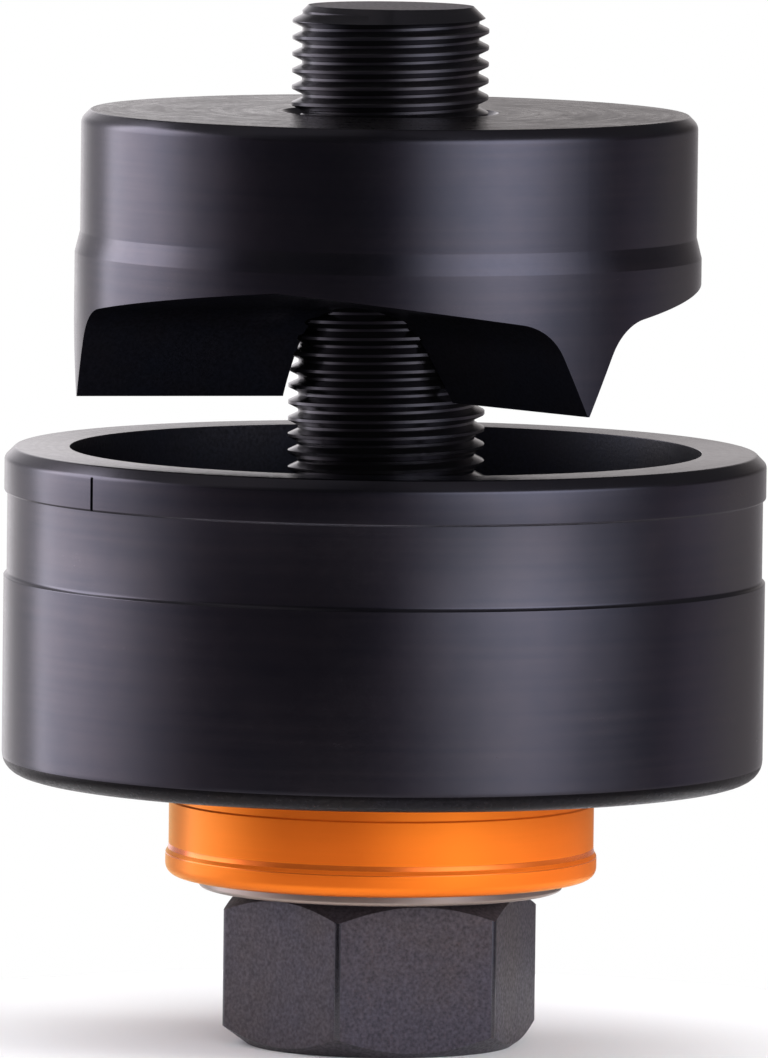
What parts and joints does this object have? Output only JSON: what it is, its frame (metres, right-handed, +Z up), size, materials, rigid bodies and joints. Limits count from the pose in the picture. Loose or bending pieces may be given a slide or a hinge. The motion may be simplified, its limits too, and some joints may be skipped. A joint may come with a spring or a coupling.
{
  "type": "sheet metal punch",
  "caption": "Screw-drawn punch for round holes in sheet metal: ridged cutter on a threaded bolt, cup-shaped die, and a thrust bearing in a cap over the hexagon head.",
  "frame": {"origin": "centre of the hexagon head's lower face, at the base of the object", "axes": "+Z up the bolt towards the punch, +X through one cutting tip; the die's two index marks stand near +Y and -Y"},
  "size_m": [0.073, 0.073, 0.0997],
  "materials": {
    "burnished_steel": "blue-black burnished, satin, fine turning marks",
    "bolt_steel": "black oxide, matte grain on the head, glossy on the thread",
    "bearing_steel": "ground",
    "ball_steel": "polished",
    "cage_steel": "pressed sheet",
    "orange_anodised": "orange anodised, glossy turned surface",
    "seal_rubber": "matte"
  },
  "bodies": {
    "housing": {"bearing_housing": "orange_anodised", "upper_race_washer": "bearing_steel", "grease_seal": "seal_rubber"},
    "bolt": {"draw_bolt": "bolt_steel", "lower_race_washer": "bearing_steel"},
    "cage": {"ball_cage": "cage_steel", "ball_01": "ball_steel", "ball_02": "ball_steel", "ball_03": "ball_steel", "ball_04": "ball_steel", "ball_05": "ball_steel", "ball_06": "ball_steel", "ball_07": "ball_steel", "ball_08": "ball_steel", "ball_09": "ball_steel", "ball_10": "ball_steel", "ball_11": "ball_steel", "ball_12": "ball_steel", "ball_13": "ball_steel"},
    "die": {"die": "burnished_steel"},
    "punch": {"punch": "burnished_steel"}
  },
  "joints": [
    {"name": "bolt_turn", "type": "hinge", "parent": "housing", "child": "bolt", "pos_m": [0, 0, 0.015], "axis": [0, 0, 1], "range_deg": [-6481, 4321]},
    {"name": "punch_travel", "type": "slide", "parent": "housing", "child": "punch", "axis": [0, 0, 1], "range_m": [-0.01905, 0.02857]},
    {"name": "cage_turn", "type": "hinge", "parent": "housing", "child": "cage", "pos_m": [0, 0, 0.02], "axis": [0, 0, 1], "range_deg": [-3241, 2161]},
    {"name": "die_turn", "type": "hinge", "parent": "housing", "child": "die", "pos_m": [0, 0, 0.02585], "axis": [0, 0, 1], "continuous": true}
  ],
  "couplings": [
    {"joint": "bolt_turn", "follows": "punch_travel", "rad_per_m": -3957.9},
    {"joint": "cage_turn", "follows": "punch_travel", "rad_per_m": -1979}
  ]
}
